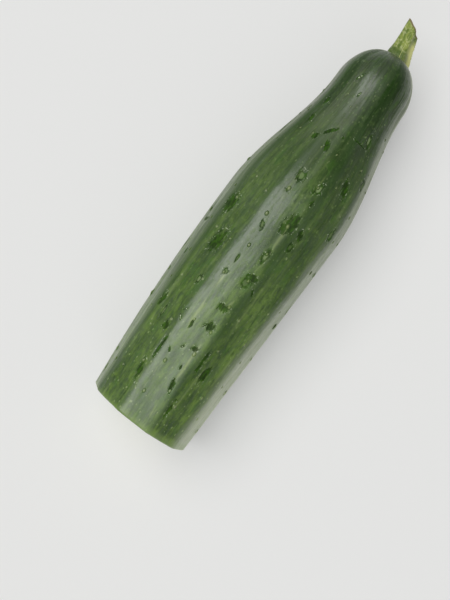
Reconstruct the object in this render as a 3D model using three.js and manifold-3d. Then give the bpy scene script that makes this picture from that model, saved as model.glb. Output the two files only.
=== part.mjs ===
// A ridged garden cucumber, cut across near its blossom end and lying on its side with its stem on.
// Millimetres, +Z up. The origin is on the table under the middle of the piece, and +X points to the stem.

import * as THREE from "three";
import { mergeVertices } from "three/addons/utils/BufferGeometryUtils.js";
import Module from "manifold-3d";

const wasm = await Module();
wasm.setup();

const { degToRad, smoothstep } = THREE.MathUtils;
const FULL_TURN = 2 * Math.PI;

// The fruit's outline. "Along" is measured from the cut face, and "around" from the top towards +Y.
const BELLY_RADIUS = 24.6;
const BELLY_AT = 96;
const CUT_END_NARROWING = 2.8;
const NECK_START = 100;
const NECK_NARROWING = 9;
const SHOULDER_AT = 158.5;
const DOME_LENGTH = 18.5;
const FRUIT_LENGTH = SHOULDER_AT + DOME_LENGTH;

// The fruit bends a little to -Y on its way to the neck.
const SWAY = -3.1;
const SWAY_START = 15;
const SWAY_END = 155;

// Ten ribs run from end to end, with nearly flat facets between them. One facet faces straight up, and
// one straight down.
const RIBS = 10;
const RIB_HEIGHT = 0.35;
const RIB_SHARPNESS = 0.1;

// The relief of the skin dies away where the neck and the dome get thinner than this.
const RELIEF_FULL_RADIUS = 22;
const RELIEF_GONE_RADIUS = 11;

// Slow swells on the flanks keep the fruit from being perfectly even.
const SWELL = 0.35;
const SWELLS_AROUND = 3;
const SWELL_LENGTH = 27;

// The stem sits in a shallow dimple at the end of the dome.
const DIMPLE_DEPTH = 1.1;
const DIMPLE_RADIUS = 6.5;

// The knife went through a little askew, so the +Y side is the shorter one.
const CUT_SLANT = Math.tan(degToRad(3.4));
const SLANT_REACH = 30;

// The fruit's weight rests on a small flat spot under the belly, in the lowest facet.
const FLAT_SPOT_DEPTH = 0.25;
const AXIS_HEIGHT = BELLY_RADIUS - RIB_HEIGHT * (1 - RIB_SHARPNESS) - FLAT_SPOT_DEPTH;

// Where the origin is on the fruit.
const ORIGIN_ALONG = 95.5;
const ORIGIN_ACROSS = -1.2;

// How finely the skin is faceted.
const SEGMENTS = RIBS * 6;
const BODY_RINGS = 25;
const DOME_RINGS = 7;

function outlineRadius(along) {
  const taper = CUT_END_NARROWING * Math.max(0, 1 - along / BELLY_AT) ** 2;
  const neck = NECK_NARROWING * smoothstep(along, NECK_START, SHOULDER_AT);
  const intoDome = Math.max(0, along - SHOULDER_AT) / DOME_LENGTH;
  return (BELLY_RADIUS - taper - neck) * Math.sqrt(Math.max(0, 1 - intoDome ** 2));
}

function swayAt(along) {
  return SWAY * smoothstep(along, SWAY_START, SWAY_END);
}

function relief(along, around) {
  const fromFacet = RIBS * around;
  const rib = RIB_HEIGHT * (RIB_SHARPNESS * Math.cos(2 * fromFacet) - Math.cos(fromFacet));
  const swell = SWELL * Math.sin(SWELLS_AROUND * around + along / SWELL_LENGTH);
  return rib + swell * Math.sin(around) ** 2;
}

// A point on the skin, in the part's frame.
function skinPoint(along, around) {
  const outline = outlineRadius(along);
  const fade = smoothstep(outline, RELIEF_GONE_RADIUS, RELIEF_FULL_RADIUS);
  const radius = outline + fade * relief(along, around);
  const dimple = DIMPLE_DEPTH * Math.exp(-((outline / DIMPLE_RADIUS) ** 2));
  const slant = CUT_SLANT * radius * Math.sin(around) * (1 - smoothstep(along, 0, SLANT_REACH));
  return new THREE.Vector3(
    along - dimple + slant - ORIGIN_ALONG,
    swayAt(along) + radius * Math.sin(around) - ORIGIN_ACROSS,
    AXIS_HEIGHT + radius * Math.cos(around),
  );
}

function skinNormal(along, around) {
  const step = 0.01;
  const here = skinPoint(along, around);
  const ahead = skinPoint(along + step, around).sub(here);
  const aside = skinPoint(along, around + step).sub(here);
  return aside.cross(ahead).normalize();
}

// Closes rings of points into one surface, with a fan to a middle point at each end.
function closedTube(rings, firstMiddle, lastMiddle) {
  const count = rings[0].length;
  const points = [...rings.flat(), firstMiddle, lastMiddle];
  const first = points.length - 2;
  const last = points.length - 1;
  const faces = [];
  for (let i = 0; i < count; i++) {
    const next = (i + 1) % count;
    faces.push(first, i, next);
    for (let ring = 0; ring < rings.length - 1; ring++) {
      const near = ring * count;
      const far = near + count;
      faces.push(near + i, far + i, far + next);
      faces.push(near + i, far + next, near + next);
    }
    const end = (rings.length - 1) * count;
    faces.push(end + i, last, end + next);
  }
  return new THREE.BufferGeometry().setFromPoints(points).setIndex(faces);
}

function solidOf(geometry) {
  const bare = geometry.clone();
  bare.deleteAttribute("normal");
  bare.deleteAttribute("uv");
  const merged = mergeVertices(bare, 1e-4);
  return new wasm.Manifold(
    new wasm.Mesh({
      numProp: 3,
      vertProperties: merged.attributes.position.array,
      triVerts: new Uint32Array(merged.index.array),
    }),
  );
}

function meshOf(name, solid, material) {
  const { vertProperties, triVerts } = solid.getMesh();
  const geometry = new THREE.BufferGeometry();
  geometry.setAttribute("position", new THREE.BufferAttribute(vertProperties, 3));
  geometry.setIndex(new THREE.BufferAttribute(triVerts, 1));
  geometry.computeVertexNormals();
  const mesh = new THREE.Mesh(geometry, material);
  mesh.name = name;
  return mesh;
}

function ringAt(along) {
  const ring = [];
  for (let i = 0; i < SEGMENTS; i++) ring.push(skinPoint(along, (i / SEGMENTS) * FULL_TURN));
  return ring;
}

function plainFruit() {
  const rings = [];
  for (let i = 0; i <= BODY_RINGS; i++) rings.push(ringAt((SHOULDER_AT * i) / BODY_RINGS));
  for (let i = 1; i < DOME_RINGS; i++) {
    const turn = (Math.PI / 2) * (i / DOME_RINGS);
    rings.push(ringAt(SHOULDER_AT + DOME_LENGTH * Math.sin(turn)));
  }
  const cutMiddle = new THREE.Vector3(-ORIGIN_ALONG, -ORIGIN_ACROSS, AXIS_HEIGHT);
  return solidOf(closedTube(rings, cutMiddle, skinPoint(FRUIT_LENGTH, 0)));
}

// The same draws on every run: each one is the draw before it times a fixed step, wrapped at a fixed span.
const RANDOM_STEP = 16807;
const RANDOM_SPAN = 2147483647;
let draw = 4688677;

function random(low, high) {
  draw = (draw * RANDOM_STEP) % RANDOM_SPAN;
  return low + (high - low) * (draw / RANDOM_SPAN);
}

// Warts stand in two loose rows on every facet, beside the ribs. They get smaller along the neck.
const WART_RADIUS = 1.6;
const WART_HEIGHT = 0.6;
const WART_ROOT = 0.5;
const WART_SIDES = 5;
const WART_ROW_ANGLE = degToRad(10);
const WART_SCATTER_ANGLE = degToRad(2.5);
const WART_SPACING = 20;
const FIRST_WART = 4;
const LAST_WART = 158;
const NECK_WART_SHARE = 0.5;

function wart(along, around, size) {
  const profile = [
    [0, -WART_ROOT],
    [WART_RADIUS, -WART_ROOT],
    [0.55 * WART_RADIUS, 0.6 * WART_HEIGHT],
    [0, WART_HEIGHT],
  ];
  const bump = new THREE.LatheGeometry(
    profile.map(([x, y]) => new THREE.Vector2(x * size, y * size)),
    WART_SIDES,
  );
  const placed = new THREE.Object3D();
  placed.position.copy(skinPoint(along, around));
  placed.quaternion.setFromUnitVectors(new THREE.Vector3(0, 1, 0), skinNormal(along, around));
  placed.updateMatrix();
  return solidOf(bump.applyMatrix4(placed.matrix));
}

function warts() {
  const made = [];
  for (let facet = 0; facet < RIBS; facet++) {
    const middle = (facet / RIBS) * FULL_TURN;
    for (const side of [-1, 1]) {
      let along = FIRST_WART + random(0, WART_SPACING);
      while (along < LAST_WART) {
        const scatter = random(-WART_SCATTER_ANGLE, WART_SCATTER_ANGLE);
        const onNeck = smoothstep(along, NECK_START, SHOULDER_AT);
        const size = random(0.65, 1.15) * THREE.MathUtils.lerp(1, NECK_WART_SHARE, onNeck);
        made.push(wart(along, middle + side * WART_ROW_ANGLE + scatter, size));
        along += WART_SPACING * random(0.5, 1.5);
      }
    }
  }
  return made;
}

// The seed core at the middle of the cut face: three shallow gel pockets, parted by a Y of firm flesh.
const CARPELS = 3;
const POCKET_DISTANCE = 4.4;
const POCKET_SIZE = new THREE.Vector3(0.6, 3.3, 3.6); // deep, across and outwards
const SEEDS_IN_POCKET = 4;
const SEED_SPREAD = degToRad(23);
const SEED_DISTANCE = 4.9;
const SEED_SIZE = new THREE.Vector3(0.7, 0.66, 2.1);
const SEED_SUNK = 0.5;

// A rounded lump in the cut face, this far from its middle and turned this far round it.
function lumpInCutFace(size, distance, turn, sunk, facets) {
  const lump = new THREE.SphereGeometry(1, facets, facets / 2);
  lump.scale(size.x, size.y, size.z).translate(sunk, 0, distance).rotateX(-turn);
  lump.rotateZ(-Math.atan(CUT_SLANT));
  return solidOf(lump.translate(-ORIGIN_ALONG, -ORIGIN_ACROSS, AXIS_HEIGHT));
}

function carpelTurns() {
  return Array.from({ length: CARPELS }, (_, i) => (i / CARPELS) * FULL_TURN);
}

function gelPockets() {
  return carpelTurns().map((turn) => lumpInCutFace(POCKET_SIZE, POCKET_DISTANCE, turn, 0, 12));
}

function seeds() {
  const middle = (SEEDS_IN_POCKET - 1) / 2;
  return carpelTurns().flatMap((turn) =>
    Array.from({ length: SEEDS_IN_POCKET }, (_, i) =>
      lumpInCutFace(SEED_SIZE, SEED_DISTANCE, turn + (i - middle) * SEED_SPREAD, SEED_SUNK, 8),
    ),
  );
}

function table() {
  const depth = 20;
  const slab = new THREE.BoxGeometry(2 * FRUIT_LENGTH, 4 * BELLY_RADIUS, depth);
  return solidOf(slab.translate(0, 0, -depth / 2));
}

// The stem: a five-ridged stub, flared where it joins the fruit and cut off aslant.
const STEM_LENGTH = 15.2;
const STEM_ROOT = 3;
const STEM_BASE_RADIUS = 4.2;
const STEM_TIP_RADIUS = 2.9;
const STEM_FLARE = 0.9;
const STEM_FLARE_LENGTH = 3;
const STEM_RIDGES = 5;
const STEM_RIDGE_HEIGHT = 0.4;
const STEM_FIRST_RIDGE = degToRad(-90);
const STEM_ACROSS = -0.7; // from the middle of the dome
const STEM_LEAN = Math.tan(degToRad(8));
const STEM_CUT = degToRad(40);
const STEM_SEGMENTS = STEM_RIDGES * 6;
const STEM_RINGS = 9;
const STEM_SEAT_GAP = 0.35;

function stemPoint(along, around) {
  const share = along / STEM_LENGTH;
  const flare = STEM_FLARE * Math.exp(-Math.max(0, along) / STEM_FLARE_LENGTH);
  const ridge = STEM_RIDGE_HEIGHT * Math.cos(STEM_RIDGES * (around - STEM_FIRST_RIDGE));
  const radius = THREE.MathUtils.lerp(STEM_BASE_RADIUS, STEM_TIP_RADIUS, share) + flare + ridge;
  const middle = SWAY + STEM_ACROSS + STEM_LEAN * along - ORIGIN_ACROSS;
  return new THREE.Vector3(
    FRUIT_LENGTH + along - ORIGIN_ALONG,
    middle + radius * Math.sin(around),
    AXIS_HEIGHT + radius * Math.cos(around),
  );
}

function stemCutter() {
  const block = 40;
  const tip = new THREE.BoxGeometry(block, block, block).translate(block / 2, 0, 0);
  tip.rotateZ(-STEM_CUT);
  const longestSide = stemPoint(STEM_LENGTH, Math.PI / 2);
  return solidOf(tip.translate(longestSide.x, longestSide.y, AXIS_HEIGHT));
}

function stem(fruit) {
  const rings = [];
  const end = STEM_LENGTH + 1;
  for (let i = 0; i <= STEM_RINGS; i++) {
    const along = THREE.MathUtils.lerp(-STEM_ROOT, end, i / STEM_RINGS);
    const ring = [];
    for (let j = 0; j < STEM_SEGMENTS; j++) {
      ring.push(stemPoint(along, (j / STEM_SEGMENTS) * FULL_TURN));
    }
    rings.push(ring);
  }
  const middleOf = (ring) =>
    ring.reduce((sum, point) => sum.add(point), new THREE.Vector3()).divideScalar(ring.length);
  const whole = solidOf(closedTube(rings, middleOf(rings[0]), middleOf(rings.at(-1))));
  return whole.subtract(stemCutter()).subtract(fruit.translate([STEM_SEAT_GAP, 0, 0]));
}

const body = plainFruit();
const warted = wasm.Manifold.union([body, ...warts()]);
const hollowed = warted.subtract(wasm.Manifold.union(gelPockets()));
const fruit = wasm.Manifold.union([hollowed, ...seeds()]).subtract(table());

const skinGreen = new THREE.MeshStandardMaterial({
  color: new THREE.Color("#4d6a38"),
  roughness: 0.4,
  metalness: 0,
});
const stemGreen = new THREE.MeshStandardMaterial({
  color: new THREE.Color("#85983f"),
  roughness: 0.65,
  metalness: 0,
});

const cucumber = new THREE.Group();
cucumber.add(meshOf("fruit", fruit, skinGreen));
cucumber.add(meshOf("stem", stem(body), stemGreen));

export default cucumber;
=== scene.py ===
"""A ridged cucumber, cut across near its blossom end, lying on a pale table under soft studio light.

Sizes are in millimetres until a point is placed, when MM turns them into metres. On the fruit, "along" is
measured from the cut face towards the stem, and "around" is the angle from the top towards +Y.
"""

import math
from typing import NamedTuple

import bpy
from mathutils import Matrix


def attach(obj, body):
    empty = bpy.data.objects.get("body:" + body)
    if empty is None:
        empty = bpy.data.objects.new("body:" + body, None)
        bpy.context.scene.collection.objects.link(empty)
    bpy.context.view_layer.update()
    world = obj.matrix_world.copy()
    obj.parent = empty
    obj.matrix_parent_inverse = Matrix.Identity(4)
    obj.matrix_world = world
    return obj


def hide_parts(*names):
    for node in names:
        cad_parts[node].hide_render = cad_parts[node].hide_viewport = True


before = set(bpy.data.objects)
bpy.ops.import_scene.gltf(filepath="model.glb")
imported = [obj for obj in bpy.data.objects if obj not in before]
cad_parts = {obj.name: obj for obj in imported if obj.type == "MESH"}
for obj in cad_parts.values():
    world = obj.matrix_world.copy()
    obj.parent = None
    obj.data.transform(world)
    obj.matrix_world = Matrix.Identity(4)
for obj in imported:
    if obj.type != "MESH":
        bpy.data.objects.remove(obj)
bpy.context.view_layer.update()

MM = 0.001
FULL_TURN = 2 * math.pi
CARPELS = 3

FRUIT = {
    "Belly radius": 24.6,
    "Belly at": 96.0,
    "Cut end narrowing": 2.8,
    "Neck start": 100.0,
    "Neck narrowing": 9.0,
    "Shoulder at": 158.5,
    "Dome length": 18.5,
    "Sway": -3.1,
    "Sway start": 15.0,
    "Sway end": 155.0,
    "Ribs": 10.0,
    "Rib height": 0.35,
    "Rib sharpness": 0.1,
    "Relief full radius": 22.0,
    "Relief gone radius": 11.0,
    "Swell": 0.35,
    "Swells around": 3.0,
    "Swell length": 27.0,
    "Dimple depth": 1.1,
    "Dimple radius": 6.5,
    "Cut slant": math.tan(math.radians(3.4)),
    "Slant reach": 30.0,
    "Cut edge rounding": 0.3,
    "Axis height": 24.035,
    "Origin along": 95.5,
    "Origin across": -1.2,
    "Skin grain": 0.09,
    "Skin undulation": 0.2,
    "Scuff depth": 0.16,
    "Wart radius": 1.1,
    "Wart height": 0.45,
    "Wart foot": 0.2,
    "Pocket depth": 0.45,
    "Pocket distance": 4.4,
    "Pocket across": 3.3,
    "Pocket outwards": 3.6,
    "Seeds in pocket": 4.0,
    "Seed distance": 4.9,
    "Seed stray": 1.6,
    "Seed spread": math.radians(23),
    "Seed sunk": 0.4,
    "Seed thickness": 0.7,
    "Seed width": 0.66,
    "Seed length": 2.1,
    "Wart stretch": 1.25,
    "Wart squeeze": 0.9,
}
FRUIT_FACETS = {"Segments": 360, "Face rings": 30, "Body rings": 182, "Dome rings": 22}

STEM = {
    "Length": 15.2,
    "Root": 3.0,
    "Base radius": 4.2,
    "Tip radius": 2.9,
    "Flare": 0.9,
    "Flare length": 3.0,
    "Ridges": 5.0,
    "Ridge height": 0.4,
    "Across": -0.7,
    "Lean": math.tan(math.radians(8)),
    "Cut": math.tan(math.radians(40)),
    "Fruit length": 177.0,
    "Sway": FRUIT["Sway"],
    "Axis height": FRUIT["Axis height"],
    "Origin along": FRUIT["Origin along"],
    "Origin across": FRUIT["Origin across"],
    "Fibres": 35.0,
    "Fibre height": 0.07,
    "Grain": 0.25,
    "Ragged edge": 0.5,
    "Ragged until": 7.0,
    "Smooth from": 11.0,
}
STEM_FACETS = {"Segments": 120, "Root rings": 2, "Side rings": 70, "Tip rings": 12}


class Field:
    """A value that varies over a surface. Arithmetic with fields adds maths nodes to their tree."""

    def __init__(self, socket):
        self.socket = socket
        self.tree = socket.id_data

    def maths(self, operation, *others):
        made = self.tree.nodes.new("ShaderNodeMath")
        made.operation = operation
        for value, socket in zip((self, *others), made.inputs):
            feed(socket, value)
        return Field(made.outputs[0])

    def __add__(self, other):
        return self.maths("ADD", other)

    def __sub__(self, other):
        return self.maths("SUBTRACT", other)

    def __rsub__(self, other):
        return self * -1 + other

    def __mul__(self, other):
        return self.maths("MULTIPLY", other)

    def __truediv__(self, other):
        return self.maths("DIVIDE", other)

    def __pow__(self, other):
        return self.maths("POWER", other)

    def __neg__(self):
        return self * -1

    __radd__ = __add__
    __rmul__ = __mul__


def feed(socket, value):
    """Joins a field to a socket, or sets the socket to a plain value."""
    if isinstance(value, Field):
        value.tree.links.new(value.socket, socket)
    else:
        socket.default_value = value


def open_socket(sockets, name):
    return next(s for s in sockets if s.name == name and s.enabled)


def add(tree, kind, feeds=(), output=None, **settings):
    """Adds a node, makes its settings, feeds its inputs, and returns one of its outputs as a field."""
    made = tree.nodes.new(kind)
    for name, value in settings.items():
        setattr(made, name, value)
    for name, value in dict(feeds).items():
        feed(open_socket(made.inputs, name), value)
    if output:
        return Field(open_socket(made.outputs, output))
    return Field(next(s for s in made.outputs if s.enabled))


def sine(angle):
    return angle.maths("SINE")


def cosine(angle):
    return angle.maths("COSINE")


def at_least(value, limit):
    return value.maths("MAXIMUM", limit)


def at_most(value, limit):
    return value.maths("MINIMUM", limit)


def smoothstep(value, low, high):
    feeds = {"Value": value, "From Min": low, "From Max": high}
    return add(value.tree, "ShaderNodeMapRange", feeds, interpolation_type="SMOOTHSTEP")


def bell(value, width):
    """1 where the value is 0, and falling to 0 on both sides of it."""
    return ((value / width) ** 2 * -1).maths("EXPONENT")


def mix(share, low, high):
    return low + (high - low) * share


def wrapped(angle, turn=FULL_TURN):
    """The same angle, brought to within half a turn of 0."""
    return angle.maths("WRAP", turn / 2, -turn / 2)


def vector(tree, x, y, z):
    return add(tree, "ShaderNodeCombineXYZ", {"X": x, "Y": y, "Z": z})


def parts(place):
    """A vector's x, y and z."""
    made = place.tree.nodes.new("ShaderNodeSeparateXYZ")
    feed(made.inputs[0], place)
    return [Field(socket) for socket in made.outputs]


def noise(place, scale=1.0, detail=2.0, roughness=0.5):
    """Smooth noise from 0 to 1, about 0.5."""
    feeds = {"Vector": place, "Scale": scale, "Detail": detail, "Roughness": roughness}
    return add(place.tree, "ShaderNodeTexNoise", feeds)


# The fruit's shape, as formulas that the mesh and the materials share.


def outline_radius(size, along):
    short_of_belly = at_least(1 - along / size["Belly at"], 0)
    taper = size["Cut end narrowing"] * short_of_belly**2
    neck = size["Neck narrowing"] * smoothstep(along, size["Neck start"], size["Shoulder at"])
    into_dome = at_least(along - size["Shoulder at"], 0) / size["Dome length"]
    rounding = at_least(1 - into_dome**2, 0).maths("SQRT")
    return (size["Belly radius"] - taper - neck) * rounding


def sway_at(size, along):
    return size["Sway"] * smoothstep(along, size["Sway start"], size["Sway end"])


def facet_phase(size, around):
    """A whole turn from rib to rib: 0 in the middle of each flat facet, half a turn on each crest."""
    return size["Ribs"] * around


def skin_place(tree, size, along, around):
    """A point on the skin, in metres in the part's frame, and its distance from the middle line."""
    outline = outline_radius(size, along)
    phase = facet_phase(size, around)
    rib = size["Rib height"] * (size["Rib sharpness"] * cosine(phase * 2) - cosine(phase))
    swell = size["Swell"] * sine(size["Swells around"] * around + along / size["Swell length"])
    relief = rib + swell * sine(around) ** 2
    edge = size["Cut edge rounding"] * at_least(1 - along / size["Cut edge rounding"], 0) ** 2
    fade = smoothstep(outline, size["Relief gone radius"], size["Relief full radius"])
    radius = outline + fade * relief - edge
    return surface_place(tree, size, along, around, radius, outline), radius


def surface_place(tree, size, along, around, radius, outline):
    dimple = size["Dimple depth"] * bell(outline, size["Dimple radius"])
    straight = 1 - smoothstep(along, 0, size["Slant reach"])
    across = radius * sine(around)
    return vector(
        tree,
        (along - dimple + size["Cut slant"] * across * straight - size["Origin along"]) * MM,
        (sway_at(size, along) + across - size["Origin across"]) * MM,
        (size["Axis height"] + radius * cosine(around)) * MM,
    )


def pocket_depth(size, radius, around):
    """How deep the gel pockets are: ovals in the cut face, evenly round its middle."""
    folded = wrapped(around, FULL_TURN / CARPELS)
    outwards = (radius * cosine(folded) - size["Pocket distance"]) / size["Pocket outwards"]
    across = radius * sine(folded) / size["Pocket across"]
    return size["Pocket depth"] * (1 - smoothstep(outwards**2 + across**2, 0.45, 1.15))


# Geometry Nodes trees.

# A point's finish: the number of its material in the list that finish_tree is given.
SKIN, FLESH, SEED = 0.0, 1.0, 2.0

# Points with a larger share than this lie on the skin, and others on the cut face.
SKIN_SHARE = 0.9999
OUT_OF_REACH = 9.0

# Where round the stem its ragged edge runs.
RAGGED_SIDE = -math.pi / 2


def new_tree(name, sizes, counts=()):
    """An empty tree with a named input for each size, its sizes, and its incoming geometry."""
    tree = bpy.data.node_groups.new(name, "GeometryNodeTree")
    face = tree.interface
    face.new_socket("Geometry", in_out="INPUT", socket_type="NodeSocketGeometry")
    face.new_socket("Geometry", in_out="OUTPUT", socket_type="NodeSocketGeometry")
    for label, value in sizes.items():
        face.new_socket(label, in_out="INPUT", socket_type="NodeSocketFloat").default_value = value
    for label, value in dict(counts).items():
        face.new_socket(label, in_out="INPUT", socket_type="NodeSocketInt").default_value = value
    source = tree.nodes.new("NodeGroupInput")
    size = {socket.name: Field(socket) for socket in source.outputs if socket.name}
    return tree, size, size.pop("Geometry")


def finish_tree(tree, geometry, finishes):
    """Ends a tree: plain mesh, smooth shading, and the material that each point's finish names."""
    geometry = add(tree, "GeometryNodeRealizeInstances", {"Geometry": geometry})
    geometry = add(tree, "GeometryNodeSetShadeSmooth", {"Geometry": geometry})
    for number, material in enumerate(finishes):
        chosen = attribute(tree, "finish").maths("COMPARE", float(number), 0.5)
        feeds = {"Geometry": geometry, "Selection": chosen, "Material": material}
        geometry = add(tree, "GeometryNodeSetMaterial", feeds)
    feed(tree.nodes.new("NodeGroupOutput").inputs[0], geometry)


def attribute(tree, name):
    return add(tree, "GeometryNodeInputNamedAttribute", {"Name": name}, data_type="FLOAT")


def store(geometry, **values):
    """Keeps each value on the geometry's points, under its name."""
    for name, value in values.items():
        feeds = {"Geometry": geometry, "Name": name, "Value": value}
        geometry = add(geometry.tree, "GeometryNodeStoreNamedAttribute", feeds, domain="POINT")
    return geometry


def position(tree):
    return add(tree, "GeometryNodeInputPosition")


def move(geometry, place=None, offset=None):
    feeds = {"Geometry": geometry}
    if place:
        feeds["Position"] = place
    if offset:
        feeds["Offset"] = offset
    return add(geometry.tree, "GeometryNodeSetPosition", feeds)


def times(place, amount):
    """A vector made longer or shorter by a number."""
    made = place.tree.nodes.new("ShaderNodeVectorMath")
    made.operation = "SCALE"
    feed(made.inputs[0], place)
    feed(made.inputs["Scale"], amount)
    return Field(made.outputs[0])


def join_geometry(tree, *geometries):
    made = tree.nodes.new("GeometryNodeJoinGeometry")
    for geometry in reversed(geometries):
        feed(made.inputs[0], geometry)
    return Field(made.outputs[0])


def wrapping_grid(tree, size, rings):
    """A grid whose points hold "ring", counted from 0 along it, and "around", a full turn across it."""
    feeds = {
        "Size X": rings,
        "Size Y": FULL_TURN,
        "Vertices X": rings + 1,
        "Vertices Y": size["Segments"] + 1,
    }
    grid = add(tree, "GeometryNodeMeshGrid", feeds)
    x, y, _ = parts(position(tree))
    return store(grid, ring=x + rings / 2, around=y + math.pi)


def close_seams(geometry):
    return add(geometry.tree, "GeometryNodeMergeByDistance", {"Geometry": geometry, "Distance": 1e-6})


def nearest_mark(tree, marks):
    """A way to read what the mark nearest to each point holds."""
    feeds = {"Geometry": marks, "Sample Position": position(tree)}
    index = add(tree, "GeometryNodeSampleNearest", feeds)

    def held(name):
        feeds = {"Geometry": marks, "Value": attribute(tree, name), "Index": index}
        return add(tree, "GeometryNodeSampleIndex", feeds, data_type="FLOAT")

    return held


def reach_of_mark(held, along, around, radius):
    """0 at the middle of the nearest mark and 1 at the rim of its oval."""
    ahead = along - held("mark_along")
    aside = wrapped(around - held("mark_around")) * radius
    turn = held("mark_turn")
    lengthwise = (ahead * cosine(turn) + aside * sine(turn)) / held("mark_length")
    crosswise = (aside * cosine(turn) - ahead * sine(turn)) / held("mark_width")
    return (lengthwise**2 + crosswise**2).maths("SQRT")


def wart_shape(tree, size):
    """A low round bump with a flaring foot and a closed underside. "tip" is 0 at its foot and 1 on top."""
    ball = add(tree, "GeometryNodeMeshUVSphere", {"Segments": 12, "Rings": 7, "Radius": 1.0})
    x, y, z = parts(position(tree))
    flat = at_most(x**2 + y**2, 1)
    above = z.maths("GREATER_THAN", 0)
    height = mix(above, size["Wart foot"] * z, size["Wart height"] * (1 - flat) ** 1.6)
    ball = store(ball, tip=(1 - flat) * above, finish=SKIN, healed=0.0)
    place = vector(tree, x * size["Wart radius"] * MM, y * size["Wart radius"] * MM, height * MM)
    return move(ball, place)


def seed_shape(tree, size):
    """A small pointed oval, lying along Z."""
    ball = add(tree, "GeometryNodeMeshUVSphere", {"Segments": 16, "Rings": 12, "Radius": 1.0})
    x, y, z = parts(position(tree))
    pointed = mix(smoothstep(z, -1.1, 0.2), 0.5, 1.0)
    deep = x * pointed * size["Seed thickness"]
    across = y * pointed * size["Seed width"]
    place = vector(tree, deep * MM, across * MM, z * size["Seed length"] * MM)
    return move(store(ball, finish=SEED), place)


def seeds_in_face(tree, size):
    """A fan of seeds in each pocket of the cut face."""
    in_pocket = size["Seeds in pocket"]
    points = add(tree, "GeometryNodePoints", {"Count": in_pocket * CARPELS})
    number = add(tree, "GeometryNodeInputIndex")
    pocket = (number / in_pocket).maths("FLOOR")
    from_middle = number - pocket * in_pocket - (in_pocket - 1) / 2
    turn = pocket * (FULL_TURN / CARPELS) + from_middle * size["Seed spread"]
    stray = noise(vector(tree, number * 1.7, 0.0, 0.0)) - 0.5
    distance = size["Seed distance"] + stray * size["Seed stray"]
    across = distance * sine(turn)
    up = distance * cosine(turn)
    place = vector(
        tree,
        (size["Seed sunk"] + size["Cut slant"] * across - size["Origin along"]) * MM,
        (across - size["Origin across"]) * MM,
        (size["Axis height"] + up) * MM,
    )
    turned = {"Axis": (1, 0, 0), "Angle": stray * 0.5 - turn}
    rotation = add(tree, "FunctionNodeAxisAngleToRotation", turned)
    feeds = {"Points": move(points, place), "Instance": seed_shape(tree, size), "Rotation": rotation}
    return add(tree, "GeometryNodeInstanceOnPoints", feeds)


def split_marks(tree, size, marks):
    """Puts the marks on the skin. Returns the warts' points, and those of the scuffs."""
    x, y, _ = parts(position(tree))
    marks = store(marks, mark_along=x, mark_around=y)
    marks = move(marks, skin_place(tree, size, x, y)[0])
    split = tree.nodes.new("GeometryNodeSeparateGeometry")
    split.domain = "POINT"
    feed(split.inputs["Geometry"], marks)
    feed(split.inputs["Selection"], attribute(tree, "wart").maths("GREATER_THAN", 0))
    wart_points, scuffs = (Field(socket) for socket in split.outputs)
    return store(wart_points, reach=attribute(tree, "wart_reach")), scuffs


def closed_fruit(tree, size):
    """Cut face, body and dome in one grid. Its points keep share, which is 1 on the skin, and along."""
    face, body, dome = size["Face rings"], size["Body rings"], size["Dome rings"]
    grid = wrapping_grid(tree, size, face + body + dome)
    ring, around = attribute(tree, "ring"), attribute(tree, "around")
    # The powers bring the rings closer together on both sides of the cut edge.
    share = 1 - at_least(1 - ring / face, 0) ** 1.3
    on_body = at_most(at_least(ring - face, 0) / body, 1) ** 1.15
    on_dome = at_least(ring - face - body, 0) / dome * (math.pi / 2)
    along = size["Shoulder at"] * on_body + size["Dome length"] * sine(on_dome)
    grid = store(grid, share=share, along=along)
    share, along = attribute(tree, "share"), attribute(tree, "along")

    place, radius = skin_place(tree, size, along, around)
    grid = store(grid, radius=radius)
    x, y, z = parts(place)
    middle_y = (sway_at(size, along) - size["Origin across"]) * MM
    middle_z = size["Axis height"] * MM
    on_face = share.maths("LESS_THAN", SKIN_SHARE)
    pocket = pocket_depth(size, share * radius, around)
    cut_x = (size["Cut slant"] * share * radius * sine(around) - size["Origin along"] + pocket) * MM
    inward = vector(tree, mix(on_face, x, cut_x), mix(share, middle_y, y), mix(share, middle_z, z))
    return store(close_seams(move(grid, inward)), tip=0.0, finish=on_face * FLESH)


def rough_skin(tree, size, grid, normal, wart_points, scuffs):
    """Gives the skin its grain, its undulation and the scuffs' dents. Its points keep reach and healed."""
    share, along = attribute(tree, "share"), attribute(tree, "along")
    around, radius = attribute(tree, "around"), attribute(tree, "radius")
    nearest_scuff = nearest_mark(tree, scuffs)
    reach_wart = reach_of_mark(nearest_mark(tree, wart_points), along, around, radius)
    reach_scuff = reach_of_mark(nearest_scuff, along, around, radius)
    healed = nearest_scuff("healed") * reach_scuff.maths("LESS_THAN", reach_wart)
    on_skin = share.maths("GREATER_THAN", SKIN_SHARE)
    reach = mix(on_skin, OUT_OF_REACH, at_most(reach_wart, reach_scuff))
    grid = store(grid, reach=reach, healed=healed)
    grain = (noise(times(position(tree), 1 / MM), 0.22, 3) - 0.5) * size["Skin grain"]
    wave_place = vector(tree, along / 17, cosine(around) * radius / 3.5, sine(around) * radius / 3.5)
    wave = (noise(wave_place, 1.0, 2) - 0.5) * size["Skin undulation"]
    dent = size["Scuff depth"] * (1 - smoothstep(reach_scuff, 0.4, 1.2))
    return move(grid, offset=times(normal, (grain + wave - dent) * MM * on_skin))


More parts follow.
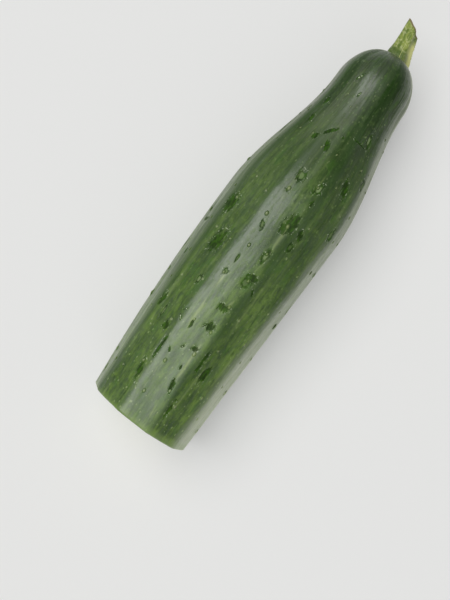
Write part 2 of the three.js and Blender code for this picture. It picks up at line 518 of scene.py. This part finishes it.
def warts_on(tree, size, grid, normal, wart_points):
    """A wart on each of its points, upright on the skin and stretched along it."""
    feeds = {"Mesh": grid, "Value": normal, "Sample Position": position(tree)}
    upright = add(tree, "GeometryNodeSampleNearestSurface", feeds, data_type="FLOAT_VECTOR")
    feeds = {"Primary Axis": upright, "Secondary Axis": (1, 0, 0)}
    rotation = add(tree, "FunctionNodeAxesToRotation", feeds, primary_axis="Z", secondary_axis="X")
    wart = attribute(tree, "wart")
    feeds = {
        "Points": wart_points,
        "Instance": wart_shape(tree, size),
        "Rotation": rotation,
        "Scale": vector(tree, wart * size["Wart stretch"], wart * size["Wart squeeze"], wart),
    }
    return add(tree, "GeometryNodeInstanceOnPoints", feeds)


def fruit_tree(finishes):
    """Skin, cut face, warts and seeds. It is given the marks as points at (along, around, 0)."""
    tree, size, marks = new_tree("Cucumber fruit", FRUIT, FRUIT_FACETS)
    wart_points, scuffs = split_marks(tree, size, marks)
    normal = add(tree, "GeometryNodeInputNormal")
    grid = rough_skin(tree, size, closed_fruit(tree, size), normal, wart_points, scuffs)
    warts = warts_on(tree, size, grid, normal, wart_points)
    whole = join_geometry(tree, grid, warts, seeds_in_face(tree, size))
    whole = add(tree, "GeometryNodeRealizeInstances", {"Geometry": whole})
    x, y, z = parts(position(tree))
    resting = move(whole, vector(tree, x, y, at_least(z, 0)))
    finish_tree(tree, resting, finishes)
    return tree


def stem_radius(tree, size, along, around):
    """The side's distance from the middle line: a flared foot, ridges, fibres, grain and a ragged edge."""
    flare = size["Flare"] * (at_least(along, 0) / -size["Flare length"]).maths("EXPONENT")
    from_edge = around - RAGGED_SIDE
    ridge = size["Ridge height"] * cosine(size["Ridges"] * from_edge)
    fibres = size["Fibre height"] * cosine(size["Fibres"] * around)
    grain_place = vector(tree, along * 0.25, cosine(around) * 2.2, sine(around) * 2.2)
    grain = size["Grain"] * (noise(grain_place, 1.0, 3) - 0.5)
    slim = mix(1 - along / size["Length"], size["Tip radius"], size["Base radius"])
    teeth = smoothstep(noise(vector(tree, along * 1.1, 0.0, 3.0), 1.0, 3), 0.35, 0.65)
    fade = 1 - smoothstep(along, size["Ragged until"], size["Smooth from"])
    ragged = size["Ragged edge"] * bell(wrapped(from_edge), 0.25) * teeth
    return slim + flare + ridge + fibres + grain + ragged * fade


def stem_tree(finishes):
    """A five-ridged stub, ragged along the side that faces -Y and cut off aslant."""
    tree, size, _ = new_tree("Cucumber stem", STEM, STEM_FACETS)
    root, side, tip = size["Root rings"], size["Side rings"], size["Tip rings"]
    grid = wrapping_grid(tree, size, root + side + tip)
    ring, around = attribute(tree, "ring"), attribute(tree, "around")
    up_side = at_most(at_least(ring - root, 0) / side, 1)
    outwards = at_most(ring / root, 1) * (1 - at_least(ring - root - side, 0) / tip)
    grid = store(grid, up_side=up_side, outwards=outwards)
    up_side, outwards = attribute(tree, "up_side"), attribute(tree, "outwards")

    tip_across = outwards * size["Tip radius"] * sine(around)
    limit = size["Length"] + size["Cut"] * (tip_across - size["Tip radius"])
    along = mix(up_side, -size["Root"], limit)
    radius = stem_radius(tree, size, along, around) * outwards
    middle = size["Sway"] + size["Across"] + size["Lean"] * along - size["Origin across"]
    place = vector(
        tree,
        (size["Fruit length"] + along - size["Origin along"]) * MM,
        (middle + radius * sine(around)) * MM,
        (size["Axis height"] + radius * cosine(around)) * MM,
    )
    on_cut = smoothstep(ring - root - side, -9, 1)
    grid = store(grid, along=along, cut=on_cut, finish=SKIN)
    finish_tree(tree, close_seams(move(grid, place)), finishes)
    return tree


def grow(name, tree, sizes, start):
    """Runs a tree on a start mesh and keeps the result as a plain mesh object."""
    seedling = bpy.data.objects.new(name + "_start", start)
    bpy.context.scene.collection.objects.link(seedling)
    modifier = seedling.modifiers.new("grow", "NODES")
    modifier.node_group = tree
    for socket in tree.interface.items_tree:
        if socket.in_out == "INPUT" and socket.name in sizes:
            modifier[socket.identifier] = sizes[socket.name]
    grown = seedling.evaluated_get(bpy.context.evaluated_depsgraph_get())
    mesh = bpy.data.meshes.new_from_object(grown)
    bpy.data.objects.remove(seedling)
    mesh.name = name
    piece = bpy.data.objects.new(name, mesh)
    bpy.context.scene.collection.objects.link(piece)
    return piece


# Where the warts and the rubbed places are.

RANDOM_STEP = 16807
RANDOM_SPAN = 2147483647
FIRST_WART_DRAW = 4688677
FIRST_PATCH_DRAW = 97
FIRST_SCUFF_DRAW = 31
WART_ROW_ANGLE = math.radians(10)
WART_SCATTER_ANGLE = math.radians(2.5)
WART_SPACING = 20
FIRST_WART = 4
LAST_WART = 158
SMALLEST_WART, LARGEST_WART = 0.65, 1.15
NECK_WART_SHARE = 0.5
UPPER_WART_SHARE = 0.75
UPPER_SIDE = math.radians(64)
WORN_WARTS = 0.5
WORN_WART_REACH, WHOLE_WART_REACH = 0.9, 1.45
WHOLE_WART_PATCH = 0.4
LOWER_SCUFFS = 48

# Scuffs on the upper side: along, degrees around, half length, half width, degrees turned, and how far
# healed: 0 is a dark bruise, 1 a pale scar and more than 1 a fresh white scratch, painted near white as a
# glint.
UPPER_SCUFFS = [
    (128.6, 23.0, 1.9, 1.0, -20, 0.0),
    (133.2, 13.0, 5.2, 0.7, -36, 0.0),
    (127.6, 6.0, 2.3, 1.0, 8, 0.0),
    (133.7, -3.5, 0.7, 0.5, 0, 0.0),
    (135.9, -23.0, 4.0, 0.5, 88, 0.0),
    (139.0, -34.5, 2.9, 1.1, 10, 0.9),
    (112.4, 7.8, 2.6, 1.9, 14, 0.7),
    (111.6, -12.6, 2.7, 1.4, -14, 0.9),
    (105.6, -14.8, 1.3, 0.8, 0, 0.0),
    (104.6, 10.2, 1.3, 0.5, 60, 0.0),
    (124.0, -56.0, 2.4, 1.5, 0, 0.3),
    (101.0, -50.5, 3.0, 1.3, 0, 0.5),
    (117.9, -36.0, 3.6, 1.6, 18, 0.0),
    (94.8, -11.0, 5.4, 2.5, -12, 0.0),
    (93.6, -23.4, 2.4, 1.2, 24, 0.0),
    (87.8, -22.2, 2.0, 1.3, 0, 0.3),
    (88.8, 9.7, 2.2, 0.8, 24, 0.6),
    (79.4, -9.4, 3.1, 1.3, 0, 0.9),
    (73.5, 9.6, 2.0, 0.5, 0, 0.4),
    (66.7, 11.0, 1.8, 1.2, 0, 0.7),
    (67.3, -9.2, 2.2, 2.3, 30, 0.4),
    (70.2, -12.0, 1.5, 2.2, 0, 0.0),
    (65.4, -19.8, 1.5, 0.6, 30, 0.0),
    (54.7, -6.3, 1.5, 2.3, 10, 0.0),
    (46.0, -7.6, 2.5, 1.6, 18, 0.0),
    (36.4, -7.4, 1.8, 1.1, -50, 0.0),
    (27.5, -6.7, 1.0, 0.6, 0, 0.0),
    (20.0, -10.4, 3.2, 0.9, 10, 0.0),
    (30.8, 11.4, 1.2, 0.5, 30, 0.0),
    (43.3, 8.2, 1.9, 0.6, 0, 0.0),
    (30.1, -30.4, 3.8, 1.7, 0, 0.0),
    (32.8, -20.8, 8.2, 0.8, 2, 0.0),
    (12.5, -21.6, 4.6, 0.8, 0, 0.0),
    (74.6, 36.2, 5.4, 2.6, -8, 0.0),
    (89.5, 49.7, 4.2, 2.6, 0, 0.0),
    (58.7, 27.9, 2.1, 1.1, 0, 0.9),
    (37.2, 28.3, 1.8, 1.5, 0, 0.0),
    (44.6, 49.5, 3.4, 1.2, 0, 0.0),
    (41.3, 40.3, 3.2, 0.8, 0, 0.6),
    (18.0, 24.7, 4.8, 1.1, 8, 0.0),
    (30.5, 20.4, 7.5, 0.7, 0, 0.0),
    (43.0, 20.4, 1.6, 0.45, 40, 1.6),
    (46.7, 20.3, 1.4, 0.45, -50, 1.6),
    (34.6, 2.5, 1.3, 0.45, -40, 1.6),
    (45.4, -1.4, 1.6, 0.5, -35, 1.5),
    (157.9, 26.8, 3.0, 0.6, -30, 1.5),
    (152.0, 12.0, 1.6, 0.45, -20, 1.4),
    (134.5, 44.6, 2.2, 1.0, 6, 0.0),
    (144.0, 46.0, 2.0, 0.8, 0, 0.0),
]


class Draws:
    """The same draws on every run: each is the last one times a fixed step, wrapped at a fixed span."""

    def __init__(self, first):
        self.draw = first

    def between(self, low, high):
        self.draw = self.draw * RANDOM_STEP % RANDOM_SPAN
        return low + (high - low) * self.draw / RANDOM_SPAN


class Mark(NamedTuple):
    """A wart or a rubbed place, with the half sizes and the turn of its worn oval."""

    along: float
    around: float
    length: float
    width: float
    turn: float
    healed: float = 0.0
    wart: float = 0.0
    wart_reach: float = 0.0


def on_neck(along):
    """How far along the neck: 0 up to its start and 1 from the shoulder on."""
    share = (along - FRUIT["Neck start"]) / (FRUIT["Shoulder at"] - FRUIT["Neck start"])
    share = min(max(share, 0), 1)
    return share * share * (3 - 2 * share)


def wart_marks():
    """Each wart, with the oval round it where the bloom is rubbed off. Upper ones are whole."""
    draws = Draws(FIRST_WART_DRAW)
    patches = Draws(FIRST_PATCH_DRAW)
    marks = []
    for rib in range(int(FRUIT["Ribs"])):
        facet = rib / FRUIT["Ribs"] * FULL_TURN
        for side in (-1, 1):
            along = FIRST_WART + draws.between(0, WART_SPACING)
            while along < LAST_WART:
                scatter = draws.between(-WART_SCATTER_ANGLE, WART_SCATTER_ANGLE)
                thinned = 1 + (NECK_WART_SHARE - 1) * on_neck(along)
                wart = draws.between(SMALLEST_WART, LARGEST_WART) * thinned
                around = facet + side * WART_ROW_ANGLE + scatter
                upper = math.cos(around) > math.cos(UPPER_SIDE)
                worn = patches.between(0, 1) < WORN_WARTS and not upper
                wart = wart * (UPPER_WART_SHARE if upper else 1)
                patch = wart * (1 if worn else WHOLE_WART_PATCH)
                length = patch * patches.between(0.9, 2.0)
                width = patch * patches.between(0.6, 1.1)
                turn = patches.between(-0.5, 0.5)
                reach = WORN_WART_REACH if worn else WHOLE_WART_REACH
                marks.append(Mark(along, around, length, width, turn, wart=wart, wart_reach=reach))
                along += WART_SPACING * draws.between(0.5, 1.5)
    return marks


def scuff_marks():
    """Places where the bloom is rubbed off, with no wart: the listed ones, and others out of their way."""
    marks = [
        Mark(along, math.radians(around), length, width, math.radians(turn), healed)
        for along, around, length, width, turn, healed in UPPER_SCUFFS
    ]
    draws = Draws(FIRST_SCUFF_DRAW)
    for _ in range(LOWER_SCUFFS):
        along = draws.between(8, 165)
        around = draws.between(UPPER_SIDE, math.radians(280))
        length = draws.between(1.0, 4.5)
        width = draws.between(0.6, 2.0)
        turn = draws.between(-0.5, 0.5)
        healed = max(draws.between(-0.8, 0.9), 0)
        marks.append(Mark(along, around, length, width, turn, healed))
    return marks


def marks_mesh(marks):
    """A mesh of loose points, one at (along, around, 0) for each mark, which hold its other values."""
    mesh = bpy.data.meshes.new("marks")
    mesh.from_pydata([(mark.along, mark.around, 0) for mark in marks], [], [])
    kept = {
        "mark_length": "length",
        "mark_width": "width",
        "mark_turn": "turn",
        "healed": "healed",
        "wart": "wart",
        "wart_reach": "wart_reach",
    }
    for name, value in kept.items():
        layer = mesh.attributes.new(name, "FLOAT", "POINT")
        layer.data.foreach_set("value", [getattr(mark, value) for mark in marks])
    return mesh


# Materials.


def colour(code):
    """A colour written as on the web, in the linear values that Blender takes."""
    shares = [int(code[i : i + 2], 16) / 255 for i in (1, 3, 5)]
    linear = [s / 12.92 if s <= 0.04045 else ((s + 0.055) / 1.055) ** 2.4 for s in shares]
    return (*linear, 1)


def new_material(name, **finish):
    """A material, its shader and its tree. What is the same all over is set on the shader's sockets."""
    material = bpy.data.materials.new(name)
    material.use_nodes = True
    shader = material.node_tree.nodes["Principled BSDF"]
    for socket, value in finish.items():
        shader.inputs[socket.replace("_", " ")].default_value = value
    return material, shader, material.node_tree


def blend(share, low, high):
    """One colour turning into another."""
    tree = next(x.tree for x in (share, low, high) if isinstance(x, Field))
    return add(tree, "ShaderNodeMix", {"Factor": share, "A": low, "B": high}, data_type="RGBA")


def surface_value(tree, name):
    return add(tree, "ShaderNodeAttribute", output="Fac", attribute_name=name)


def bump(shader, height, distance, strength=1.0):
    feeds = {"Height": height, "Distance": distance * MM, "Strength": strength}
    feed(shader.inputs["Normal"], add(height.tree, "ShaderNodeBump", feeds))


def object_place(tree):
    """Where a point is on the piece, in millimetres."""
    return parts(times(add(tree, "ShaderNodeTexCoord", output="Object"), 1 / MM))


# Dark stripes that run down the neck from the stem: degrees around, half width in degrees.
NECK_STRIPES = [(46, 9), (-25, 11), (-71, 8), (92, 8), (128, 11), (171, 9), (-113, 12), (-150, 7)]

SKIN_COLOURS = {
    "body, dark": "#3c5816",
    "body, light": "#607d2f",
    "neck, dark": "#213410",
    "neck, light": "#374b26",
    "pale fleck": "#7f9a48",
    "dark streak": "#284710",
    "short dark streak": "#223f0c",
    "yellow blotch": "#6c8c28",
    "dark blotch": "#26480b",
    "dark mottle": "#223e0a",
    "fresh green streak": "#3a640f",
    "pale mottle": "#809c4c",
    # The next two are painted shade along the crests and beside them.
    "painted shade beside a crest": "#264014",
    "crest": "#2f4a1c",
    "neck stripe": "#193700",
    "neck vein": "#142a03",
    "pale neck mottle": "#5a7440",
    "line along the warts": "#a0b070",
    "dot": "#a9bb80",
    # Wax film, which on the top facet is a painted sheen.
    "wax film and painted sheen": "#9cb088",
    # Painted shade on the +Y flank.
    "painted flank shade": "#2f4d12",
    # Bloom, which also paints a pale rim reflection low on the -Y flank and a highlight on the neck.
    "bloom": "#c0cba4",
    "bruise, dark": "#1a3300",
    "bruise, light": "#315800",
    "healed": "#93a772",
    # A fresh scratch, near white as a painted glint.
    "fresh scratch and painted glint": "#c9d6b4",
    # Pale flecks on a mark's ripped rim, painted as glints.
    "torn rim and painted glint": "#c3cfae",
    "wart scar": "#a3ad78",
    # Painted glow of light through the skin beside the cut edge.
    "painted glow at the cut rim": "#86a054",
}


def between(value, low, high, soft):
    """1 from low to high, with soft ends."""
    return smoothstep(value, low - soft, low + soft) * (1 - smoothstep(value, high - soft, high + soft))


def skin_colour(name):
    return colour(SKIN_COLOURS[name])


def tint(base, share, name):
    """Lays one of the skin's colours over the base, as strongly as the share says."""
    return blend(share, base, skin_colour(name))


class SkinPlace:
    """Where a point is on the skin, and the patterns that several finishes share."""

    def __init__(self, tree):
        x, y, z = object_place(tree)
        self.tree = tree
        self.along = x + FRUIT["Origin along"]
        self.aside = y + FRUIT["Origin across"] - sway_at(FRUIT, self.along)
        self.up = z - FRUIT["Axis height"]
        self.around = self.aside.maths("ARCTAN2", self.up)
        self.phase = facet_phase(FRUIT, self.around)
        self.to_neck = smoothstep(self.along, 40, 165)
        self.near_cut = 1 - smoothstep(self.along, 5, 70)
        self.fine = noise(vector(tree, self.along, self.aside, self.up), 1.4, 3.0)
        self.mottle = noise(vector(tree, self.along * 0.7, self.aside, self.up), 0.75, 6.0, 0.62)
        self.wavy_around = self.around + (self.streaks(40, 6) - 0.5) * 0.3

    def streaks(self, length, width, detail=3.0):
        """Noise drawn out along the fruit: features this long and this wide, in millimetres."""
        spread = FRUIT["Belly radius"] / width
        across, up = sine(self.around) * spread, cosine(self.around) * spread
        return noise(vector(self.tree, self.along / length, up, across), 1.0, detail)

    def facing(self, low, high, soft):
        """1 from one angle round the fruit to another, in degrees, between wavy soft edges."""
        return between(self.wavy_around, math.radians(low), math.radians(high), math.radians(soft))


def grown_green(skin):
    """The green that the skin grew with, in streaks, blotches and mottling, and darker towards the neck."""
    to_neck = skin.to_neck
    dark = blend(to_neck, skin_colour("body, dark"), skin_colour("neck, dark"))
    light = blend(to_neck, skin_colour("body, light"), skin_colour("neck, light"))
    base = blend(smoothstep(skin.streaks(32, 6), 0.34, 0.66), dark, light)
    base = tint(base, smoothstep(skin.streaks(5, 1.0), 0.5, 0.75) * mix(to_neck, 0.2, 0.08), "pale fleck")
    base = tint(base, smoothstep(skin.streaks(16, 1.6), 0.52, 0.66) * 0.55, "dark streak")
    base = tint(base, smoothstep(skin.streaks(4, 1.3, 4.0), 0.53, 0.66) * 0.5, "short dark streak")
    blotch = noise(vector(skin.tree, skin.along / 5.5, skin.aside / 2.4, skin.up / 2.4), 1.0, 4.0, 0.6)
    base = tint(base, smoothstep(blotch, 0.52, 0.62) * skin.near_cut * 0.4, "yellow blotch")
    base = tint(base, (1 - smoothstep(blotch, 0.38, 0.47)) * mix(to_neck, 0.45, 0.25), "dark blotch")
    base = tint(base, smoothstep(skin.mottle, 0.5, 0.66) * 0.42, "dark mottle")
    fresh = smoothstep(skin.streaks(7, 3, 5.0), 0.54, 0.66) * mix(to_neck, 0.55, 0.3)
    base = tint(base, fresh, "fresh green streak")
    return tint(base, (1 - smoothstep(skin.mottle, 0.34, 0.48)) * mix(to_neck, 0.22, 0.08), "pale mottle")


def with_painted_crest_shade(base, skin):
    # Painted shade: the crests and the facet sides beside them are darkened in colour, most towards the
    # neck, where shade and dark reflection fall.
    crest = -cosine(skin.phase)
    beside = smoothstep(crest + (skin.streaks(24, 5) - 0.5) * 2.4, 0.2, 1.2)
    base = tint(base, beside * mix(skin.to_neck, 0.15, 0.9), "painted shade beside a crest")
    return tint(base, smoothstep(crest, 0.8, 1.0) * 0.4, "crest")


def neck_stripes(skin):
    """1 in the dark stripes that run down from the stem, with ragged sides."""
    stripe = 0
    for middle, half_width in NECK_STRIPES:
        from_middle = wrapped(skin.around - math.radians(middle))
        stripe = stripe + bell(from_middle, math.radians(half_width))
    ragged = stripe + (skin.streaks(9, 2, 4.0) - 0.5) * 1.4 + (skin.mottle - 0.5) * 1.2
    return smoothstep(ragged, 0.35, 0.8) * smoothstep(skin.along, 136, 157)


def with_neck_marks(base, skin, stripes):
    base = tint(base, stripes * 0.8, "neck stripe")
    veins = smoothstep(skin.streaks(22, 0.9, 4.0), 0.5, 0.62) * smoothstep(skin.along, 120, 160)
    base = tint(base, veins * 0.6, "neck vein")
    return tint(base, (1 - smoothstep(skin.mottle, 0.36, 0.48)) * skin.to_neck * 0.2, "pale neck mottle")


def with_lines_and_dots(base, skin, top_facet):
    """Broken pale lines along the rows of warts, and small pale dots, densest near the cut."""
    row_phase = FRUIT["Ribs"] * WART_ROW_ANGLE
    off_row = wrapped(skin.phase).maths("ABSOLUTE") - row_phase
    line = bell(off_row, 0.25) * smoothstep(skin.streaks(20, 4), 0.5, 0.6) * (1 - skin.to_neck)
    base = tint(base, line * mix(top_facet, 0.2, 0.55), "line along the warts")
    cell_place = vector(skin.tree, skin.along / 1.6, skin.aside, skin.up)
    dots = add(skin.tree, "ShaderNodeTexVoronoi", {"Vector": cell_place, "Scale": 0.55})
    dots = 1 - smoothstep(dots + (skin.fine - 0.5) * 0.3, 0.1, 0.2)
    return tint(base, dots * mix(skin.near_cut, 0.15, 0.45), "dot")


def wax_film_and_painted_sheen(skin, top_facet, worn_top):
    """A thin veil of wax in patches, and a painted sheen: a pale tint on the top facet where it is not
    worn, strongest near the cut.
    """
    patchy = smoothstep(skin.streaks(10, 2.4, 4.0) * 0.6 + skin.streaks(50, 9) * 0.4, 0.32, 0.68)
    return mix(patchy, 0.0, 0.05) + top_facet * (1 - worn_top) * mix(skin.near_cut, 0.03, 0.13)


def bloom_and_painted_sheen(skin):
    """White bloom with a painted sheen: thick low on the -Y flank, where it also paints a pale rim
    reflection, and thin on the upper side of the neck, where it paints a wider highlight.
    """
    flank = skin.facing(-105, -55, 11) * mix(smoothstep(skin.along, 15, 85), 0.68, 0.15)
    neck = skin.facing(4, 38, 6) * between(skin.along, 128, 160, 10) * 0.08
    return at_most((flank + neck) * mix(skin.streaks(14, 1.2, 4.0), 0.5, 1.5), 0.85)


def mark_wear(skin):
    """How far a point is rubbed bare, healed pale, or on a mark's rim, where pale flecks stand for ripped
    skin and are painted as glints.
    """
    reach = surface_value(skin.tree, "reach")
    ragged = skin.streaks(2.2, 0.8, 4.0) - 0.5
    rubbed = 1 - smoothstep(reach + ragged * 2.2, 0.6, 1.2)
    healed = surface_value(skin.tree, "healed") * (1 - smoothstep(reach + ragged * 0.8, 0.35, 0.7))
    # Painted highlight: pale flecks on each mark's ragged rim, standing for ripped skin and its glints.
    torn_rim_glint = bell(reach + ragged - 1.15, 0.22) * smoothstep(skin.fine, 0.58, 0.68)
    return rubbed, healed, torn_rim_glint


def with_marks(base, skin, rubbed, healed, torn_rim_glint):
    dapple = smoothstep(skin.streaks(2.5, 1.2, 4.0), 0.4, 0.62)
    bruise = blend(dapple, skin_colour("bruise, dark"), skin_colour("bruise, light"))
    base = blend(rubbed * mix(skin.streaks(14, 6), 0.55, 1.15), base, bruise)
    # Above 1 the scar turns near white: a fresh scratch with a painted glint.
    scar = blend(smoothstep(healed, 0.8, 1.4), skin_colour("healed"), skin_colour("fresh scratch and painted glint"))
    base = blend(healed * 0.65, base, scar)
    return tint(base, torn_rim_glint * 0.7, "torn rim and painted glint")


def skin_material():
    material, shader, tree = new_material(
        "cucumber skin",
        Specular_IOR_Level=0.2,
        Coat_Roughness=0.34,
        Coat_IOR=1.65,
        Sheen_Weight=0.38,
        Sheen_Roughness=0.25,
    )
    shader.inputs["Sheen Tint"].default_value = colour("#e6eec4")
    skin = SkinPlace(tree)
    rubbed, healed, torn_rim_glint = mark_wear(skin)
    tip = surface_value(tree, "tip")
    stripes = neck_stripes(skin)
    top_facet = skin.facing(-16, 18, 2)
    worn_top = skin.facing(-18, -1, 3) * smoothstep(skin.along, 35, 60)
    # Painted shade: the +Y flank facet is darkened and its coat thinned, as shade falls on that side.
    painted_shade_flank = skin.facing(52, 68, 3)
    worn_shoulder = between(skin.along, 108, 136, 8)

    base = with_painted_crest_shade(grown_green(skin), skin)
    base = with_neck_marks(base, skin, stripes)
    base = with_lines_and_dots(base, skin, top_facet)
    # Thin wax veil, and painted sheen on the top facet.
    base = tint(base, wax_film_and_painted_sheen(skin, top_facet, worn_top) * (1 - rubbed), "wax film and painted sheen")
    base = tint(base, painted_shade_flank * 0.5, "painted flank shade")
    # Bloom, partly painted rim reflection on the -Y flank and painted highlight on the neck.
    base = tint(base, bloom_and_painted_sheen(skin) * (1 - rubbed), "bloom")
    base = with_marks(base, skin, rubbed, healed, torn_rim_glint)
    base = tint(base, smoothstep(tip, 0.55, 0.9) * 0.45, "wart scar")
    # Painted light: a paler green glow on the skin next to the cut edge, where light shines through.
    base = tint(base, (1 - smoothstep(skin.along, 0.3, 3.5)) * 0.5, "painted glow at the cut rim")
    feed(shader.inputs["Base Color"], base)
    feed(shader.inputs["Roughness"], mix(rubbed, 0.45, 0.6))

    shiny = smoothstep(skin.streaks(9, 1.1, 4.0) * 0.5 + skin.mottle * 0.5, 0.38, 0.6)
    wax = at_most(mix(shiny, mix(skin.to_neck, 0.45, 0.15), 1.05) + top_facet * 0.2, 1)
    # Less coat where the top and shoulder are worn, and on the flank with painted shade.
    worn = worn_top * 0.7 + painted_shade_flank * 0.7 + worn_shoulder * 0.45
    on_wart = smoothstep(tip, 0.02, 0.3)
    bare = at_most(rubbed + stripes * 0.9 + worn + on_wart * 0.45, 1)
    feed(shader.inputs["Coat Weight"], mix(bare, wax, 0.03))

    wrinkles = skin.fine * 0.4 + skin.streaks(6, 0.8, 3.0) * 0.6 + skin.mottle * 0.5
    bump(shader, wrinkles - rubbed * 0.5 + healed * 0.5, 0.16, 0.7)
    return material


def flesh_material():
    """Pale flesh that turns green under the skin, with a yellower core and gel pockets."""
    material, shader, tree = new_material(
        "cucumber flesh",
        Roughness=0.32,
        Subsurface_Weight=0.25,
        Subsurface_Scale=0.002,
    )
    shader.inputs["Subsurface Radius"].default_value = (1.0, 0.9, 0.45)
    _, y, z = object_place(tree)
    aside = y + FRUIT["Origin across"]
    up = z - FRUIT["Axis height"]
    around = aside.maths("ARCTAN2", up)
    radius = (aside**2 + up**2).maths("SQRT")
    share = surface_value(tree, "share")
    ripple = noise(vector(tree, cosine(around) * 9, sine(around) * 9, radius * 0.25), 1.0, 3.0)
    on_face = vector(tree, 0.0, aside, up)
    cloud = noise(on_face, 0.16, 2.0)
    grain = noise(on_face, 1.1, 5.0, 0.65)
    flesh = blend(smoothstep(cloud, 0.3, 0.7), colour("#eaeeb8"), colour("#f4f6cf"))
    flesh = blend(smoothstep(grain, 0.5, 0.7) * 0.35, flesh, colour("#d6e09a"))
    rays = smoothstep(ripple, 0.48, 0.72) * smoothstep(share, 0.35, 0.9)
    flesh = blend(rays * 0.45, flesh, colour("#cfdd8c"))
    outer = smoothstep(share + (ripple - 0.5) * 0.09, 0.83, 0.985)
    flesh = blend(outer**1.5, flesh, colour("#8db03a"))
    flesh = blend(smoothstep(share, 0.972, 0.992), flesh, colour("#35501c"))
    core = 1 - smoothstep(radius + (cloud - 0.5) * 3, 6.5, 9.5)
    flesh = blend(core * 0.5, flesh, colour("#e3e08f"))
    pocket = pocket_depth(FRUIT, radius, around) / FRUIT["Pocket depth"]
    flesh = blend(pocket * 0.7, flesh, colour("#d2d06c"))
    feed(shader.inputs["Base Color"], flesh)
    bump(shader, grain, 0.2, 0.6)
    return material


def seed_material():
    material, shader, tree = new_material(
        "cucumber seed",
        Roughness=0.25,
        Subsurface_Weight=0.3,
        Subsurface_Scale=0.001,
    )
    x, y, z = object_place(tree)
    speck = noise(vector(tree, x, y, z), 0.9, 2.0)
    feed(shader.inputs["Base Color"], blend(speck, colour("#f0eebb"), colour("#e2dd92")))
    return material


def stem_material():
    """Fibrous green with pale specks, yellow along its ragged edge and brown on the cut."""
    material, shader, tree = new_material("cucumber stem", Specular_IOR_Level=0.4, Sheen_Weight=0.2)
    x, y, z = object_place(tree)
    along = surface_value(tree, "along")
    around = surface_value(tree, "around")
    cut = surface_value(tree, "cut")
    fibre = noise(vector(tree, along * 0.3, cosine(around) * 3.2, sine(around) * 3.2), 1.0, 4.0)
    speck = noise(vector(tree, x, y, z), 0.8, 4.0)
    green = blend(smoothstep(fibre, 0.35, 0.65), colour("#5d7422"), colour("#8d9c42"))
    green = blend(smoothstep(speck, 0.48, 0.66) * 0.6, green, colour("#c3c98e"))
    from_edge = wrapped(around - RAGGED_SIDE)
    yellow = bell(from_edge, 0.75) * (1 - smoothstep(along + (speck - 0.5) * 6, 5, 9))
    green = blend(at_most(yellow * 1.4, 1), green, colour("#dfe08e"))
    foot = (1 - smoothstep(along + (speck - 0.5) * 2, 0.3, 3.2)) * (1 - bell(from_edge, 0.9))
    green = blend(foot * 0.75, green, colour("#3f5a1e"))
    green = blend(smoothstep(cut + (speck - 0.5) * 0.6, 0.45, 0.8), green, colour("#7d7046"))
    feed(shader.inputs["Base Color"], green)
    feed(shader.inputs["Roughness"], mix(speck, 0.45, 0.7))
    bump(shader, fibre * 0.6 + speck * 0.4, 0.3, 0.6)
    return material


def table_material():
    material, shader, _ = new_material("pale table", Roughness=0.7, Emission_Strength=0.28)
    shader.inputs["Base Color"].default_value = colour("#c4c4c2")
    shader.inputs["Emission Color"].default_value = colour("#ffffff")
    return material


# Building the pieces.

fruit = grow(
    "cucumber_fruit",
    fruit_tree([skin_material(), flesh_material(), seed_material()]),
    {**FRUIT, **FRUIT_FACETS},
    marks_mesh(wart_marks() + scuff_marks()),
)
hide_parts("fruit")
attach(fruit, "root")

stem = grow("cucumber_stem", stem_tree([stem_material()]), {**STEM, **STEM_FACETS}, marks_mesh([]))
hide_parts("stem")
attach(stem, "root")


# The studio.


def place_table():
    half = 2.5
    corners = [(-half, -half, 0), (half, -half, 0), (half, half, 0), (-half, half, 0)]
    mesh = bpy.data.meshes.new("table")
    mesh.from_pydata(corners, [], [(0, 1, 2, 3)])
    mesh.materials.append(table_material())
    table = bpy.data.objects.new("table", mesh)
    bpy.context.scene.collection.objects.link(table)


def place_soft_light(name, tilt_x, tilt_y, spread, strength):
    """A far, wide light. It is tilted this many degrees towards +X and +Y from straight above."""
    light = bpy.data.lights.new(name, "SUN")
    light.angle = math.radians(spread)
    light.energy = strength
    lamp = bpy.data.objects.new(name, light)
    bpy.context.scene.collection.objects.link(lamp)
    lamp.rotation_euler = (-math.radians(tilt_y), math.radians(tilt_x), 0)


def place_camera():
    """Straight above the fruit, turned so that the stem points to the picture's upper right."""
    camera = bpy.data.cameras.new("camera")
    camera.lens = 54
    camera.sensor_width = 36
    camera.clip_start = 0.01
    viewer = bpy.data.objects.new("camera", camera)
    viewer.location = (-0.0378, -0.00096, 0.384)
    viewer.rotation_euler = (0, 0, math.radians(-55.34))
    bpy.context.scene.collection.objects.link(viewer)
    bpy.context.scene.camera = viewer


def light_room():
    """A soft light from above, a weaker one from the cut end, and a pale room that glows a little."""
    world = bpy.data.worlds.new("room")
    world.use_nodes = True
    tree = world.node_tree
    tree.nodes["Background"].inputs["Color"].default_value = colour("#f2f4f5")
    seen = add(tree, "ShaderNodeLightPath", output="Is Camera Ray")
    glow, look = 0.22, 0.75
    feed(tree.nodes["Background"].inputs["Strength"], mix(seen, glow, look))
    bpy.context.scene.world = world
    place_soft_light("overhead", 4, 22, 54, 1.95)
    place_soft_light("fill", -56, -18, 70, 0.58)


place_table()
place_camera()
light_room()
bpy.context.scene.view_settings.view_transform = "Standard"
